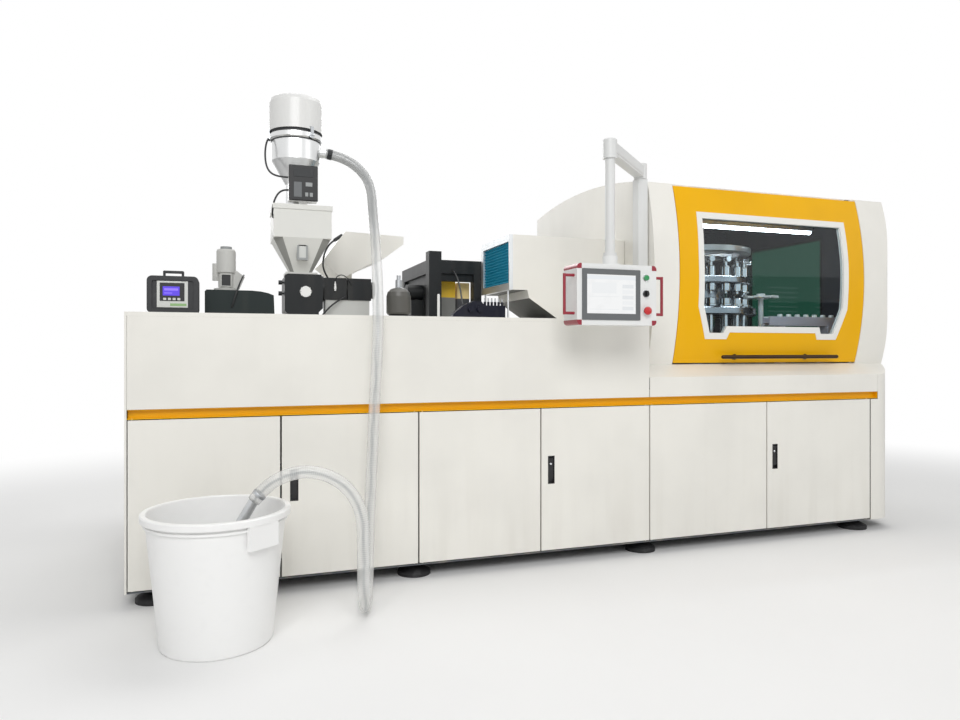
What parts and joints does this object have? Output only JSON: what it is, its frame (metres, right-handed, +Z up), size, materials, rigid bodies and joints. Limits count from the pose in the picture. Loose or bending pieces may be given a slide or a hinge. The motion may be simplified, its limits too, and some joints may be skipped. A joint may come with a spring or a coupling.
{
  "type": "cap compression moulding machine",
  "caption": "Cap compression moulding machine with a white cabinet, an amber safety door, a rotary mould carousel, a swivel operator panel, a hopper loader and a suction hose in a tub.",
  "frame": {"origin": "middle of the footprint at floor level, the hose and lance left out", "axes": "+X along the length towards the moulding housing, +Y to the rear, +Z up"},
  "size_m": [4.25, 2.315, 2.361],
  "materials": {
    "warm_white_paint": "satin powder coat",
    "amber_paint": "gloss powder coat",
    "frame_paint": "satin paint",
    "foot_rubber": "matt",
    "lock_black": "matt",
    "clear_pane": "clear",
    "green_pane": "tinted",
    "seal_white": "matt",
    "bar_bronze": "dark anodised",
    "pin_steel": "ground",
    "lamp_white": "diffuser",
    "turret_grey": "satin paint",
    "carousel_steel": "machined",
    "mould_chrome": "polished",
    "star_plastic": "matt",
    "rail_lilac": "satin paint",
    "arm_grey": "satin paint",
    "panel_white": "satin paint",
    "guard_crimson": "gloss",
    "screen_grey": "matt",
    "button_green": "gloss",
    "button_black": "gloss",
    "button_red": "gloss",
    "machine_black": "satin paint",
    "hopper_grey": "satin paint",
    "receiver_steel": "brushed",
    "loader_white": "satin",
    "cover_green": "satin paint",
    "lubricator_grey": "satin paint",
    "case_black": "matt",
    "bottle_grey": "satin paint",
    "block_navy": "satin paint",
    "filter_teal": "pleated",
    "tub_white": "satin",
    "hose_clear": "translucent",
    "lance_steel": "ground",
    "motor_blue": "satin paint",
    "control_grey": "galvanised"
  },
  "bodies": {
    "machine": {"base_frame": "frame_paint", "levelling_feet": "foot_rubber", "deck_plate": "warm_white_paint", "front_fascias": "warm_white_paint", "trim_channel": "amber_paint", "fixed_covers": "warm_white_paint", "right_end_cover": "warm_white_paint", "drive_motors": "motor_blue", "control_plate": "control_grey", "housing_side": "warm_white_paint", "housing_end": "warm_white_paint", "end_window": "green_pane", "housing_roof": "warm_white_paint", "hinge_pins": "pin_steel", "work_light": "lamp_white", "turret_column": "turret_grey", "outfeed_rail": "rail_lilac", "pendant_column": "arm_grey", "feed_block": "machine_black", "extruder_barrel": "machine_black", "hopper": "hopper_grey", "loader_receiver": "receiver_steel", "loader_head": "loader_white", "loader_control": "loader_white", "drive_cover": "cover_green", "lubricator": "lubricator_grey", "instrument_case": "case_black", "side_hopper": "warm_white_paint", "accumulator": "bottle_grey", "gantry": "machine_black", "valve_block": "block_navy", "filter_hood": "warm_white_paint", "air_filter": "filter_teal", "tub": "tub_white", "suction_hose": "hose_clear", "suction_lance": "lance_steel"},
    "door_leaf_1": {"cabinet_door_1": "warm_white_paint"},
    "door_leaf_2": {"cabinet_door_2": "warm_white_paint"},
    "door_leaf_3": {"cabinet_door_3": "warm_white_paint"},
    "door_leaf_4": {"cabinet_door_4": "warm_white_paint"},
    "door_leaf_5": {"cabinet_door_5": "warm_white_paint"},
    "door_leaf_6": {"cabinet_door_6": "warm_white_paint"},
    "lever_2": {"lock_lever_2": "lock_black"},
    "lever_4": {"lock_lever_4": "lock_black"},
    "lever_6": {"lock_lever_6": "lock_black"},
    "safety_guard": {"safety_door": "amber_paint", "window_seal": "seal_white", "window_pane": "clear_pane", "bar_handle": "bar_bronze"},
    "rotor": {"carousel": "carousel_steel", "lower_moulds": "mould_chrome", "upper_punches": "mould_chrome"},
    "star": {"takeoff_star": "star_plastic"},
    "arm": {"pendant_arm": "arm_grey"},
    "panel": {"operator_panel": "panel_white", "panel_guards": "guard_crimson", "touch_screen": "screen_grey"},
    "start": {"start_button": "button_green"},
    "selector": {"selector_switch": "button_black"},
    "stop": {"stop_button": "button_red"}
  },
  "joints": [
    {"name": "door_1_hinge", "type": "hinge", "parent": "machine", "child": "door_leaf_1", "pos_m": [-2.097, -0.4315, 0.43], "axis": [0, 0, -1], "range_deg": [0, 22]},
    {"name": "door_2_hinge", "type": "hinge", "parent": "machine", "child": "door_leaf_2", "pos_m": [-0.8865, -0.4315, 0.43], "axis": [0, 0, 1], "range_deg": [0, 15]},
    {"name": "door_3_hinge", "type": "hinge", "parent": "machine", "child": "door_leaf_3", "pos_m": [-0.8485, -0.4315, 0.43], "axis": [0, 0, -1], "range_deg": [0, 85]},
    {"name": "door_4_hinge", "type": "hinge", "parent": "machine", "child": "door_leaf_4", "pos_m": [0.371, -0.4315, 0.43], "axis": [0, 0, 1], "range_deg": [0, 85]},
    {"name": "door_5_hinge", "type": "hinge", "parent": "machine", "child": "door_leaf_5", "pos_m": [0.409, -0.4315, 0.43], "axis": [0, 0, -1], "range_deg": [0, 85]},
    {"name": "door_6_hinge", "type": "hinge", "parent": "machine", "child": "door_leaf_6", "pos_m": [1.896, -0.4315, 0.43], "axis": [0, 0, 1], "range_deg": [0, 85]},
    {"name": "lever_2_hinge", "type": "hinge", "parent": "door_leaf_2", "child": "lever_2", "pos_m": [-1.43925, -0.436, 0.532], "axis": [-1, 0, 0], "range_deg": [0, 40]},
    {"name": "lever_4_hinge", "type": "hinge", "parent": "door_leaf_4", "child": "lever_4", "pos_m": [-0.18175, -0.436, 0.532], "axis": [-1, 0, 0], "range_deg": [0, 40]},
    {"name": "lever_6_hinge", "type": "hinge", "parent": "door_leaf_6", "child": "lever_6", "pos_m": [1.2095, -0.436, 0.532], "axis": [-1, 0, 0], "range_deg": [0, 40]},
    {"name": "safety_door_hinge", "type": "hinge", "parent": "machine", "child": "safety_guard", "pos_m": [1.2565, -0.2845, 1.985], "axis": [-1, 0, 0], "range_deg": [0, 75]},
    {"name": "carousel_spin", "type": "hinge", "parent": "machine", "child": "rotor", "pos_m": [1.215, 0.3175, 1.35], "axis": [0, 0, 1], "continuous": true},
    {"name": "star_spin", "type": "hinge", "parent": "machine", "child": "star", "pos_m": [1.50916, 0.02334, 1.42], "axis": [0, 0, 1], "continuous": true},
    {"name": "arm_swivel", "type": "hinge", "parent": "machine", "child": "arm", "pos_m": [0.409, -0.3185, 2.04], "axis": [0, 0, 1], "range_deg": [-3, 45]},
    {"name": "panel_swivel", "type": "hinge", "parent": "arm", "child": "panel", "pos_m": [0.017, -0.6825, 1.5], "axis": [0, 0, 1], "range_deg": [-50, 50]},
    {"name": "start_press", "type": "slide", "parent": "panel", "child": "start", "axis": [0, 1, 0], "range_m": [0, 0.003], "stiffness_N_per_m": 900},
    {"name": "selector_turn", "type": "hinge", "parent": "panel", "child": "selector", "pos_m": [0.171, -0.7525, 1.349], "axis": [0, -1, 0], "range_deg": [-45, 45]},
    {"name": "stop_press", "type": "slide", "parent": "panel", "child": "stop", "axis": [0, 1, 0], "range_m": [0, 0.005]}
  ],
  "couplings": [
    {"joint": "star_spin", "follows": "carousel_spin", "ratio": -3.3333}
  ]
}
